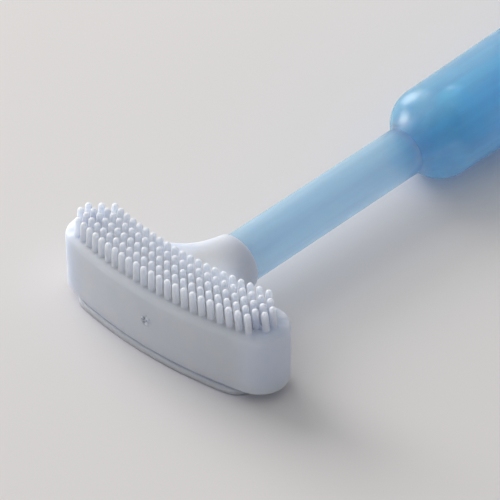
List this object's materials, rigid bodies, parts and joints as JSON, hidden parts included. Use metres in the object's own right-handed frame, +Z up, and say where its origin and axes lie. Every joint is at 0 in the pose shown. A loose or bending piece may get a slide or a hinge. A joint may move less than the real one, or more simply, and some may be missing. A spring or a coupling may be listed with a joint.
{
  "type": "pet toothbrush",
  "caption": "T-shaped pet toothbrush: curved silicone head with rows of rubbing pegs on a stiff core, a round frosted neck and a thick tapered clear blue grip with an end plug.",
  "frame": {"origin": "middle of the object's box in plan, on the surface that the brush lies on", "axes": "+Y along the handle from the head towards the grip's end, +Z up, the way the pegs point, X along the head"},
  "size_m": [0.042, 0.157, 0.0188],
  "materials": {
    "head_silicone": "matte pale lavender-grey translucent silicone",
    "core_plastic": "clear light blue moulded plastic",
    "plate_silicone": "matte pale lavender-grey silicone",
    "neck_plastic": "frosted translucent light blue",
    "grip_plastic": "polished translucent blue",
    "plug_plastic": "polished translucent blue"
  },
  "bodies": {
    "handle": {"neck_stem": "neck_plastic", "grip": "grip_plastic"},
    "head": {"brush_head": "head_silicone", "head_core": "core_plastic", "back_plate": "plate_silicone"},
    "plug": {"end_plug": "plug_plastic"}
  },
  "joints": [
    {"name": "head_pull_off", "type": "slide", "parent": "handle", "child": "head", "axis": [0, -0.9998, -0.0222], "range_m": [0, 0.0155]},
    {"name": "plug_pull_out", "type": "slide", "parent": "handle", "child": "plug", "axis": [0, 0.9998, 0.0222], "range_m": [0, 0.0095]}
  ]
}
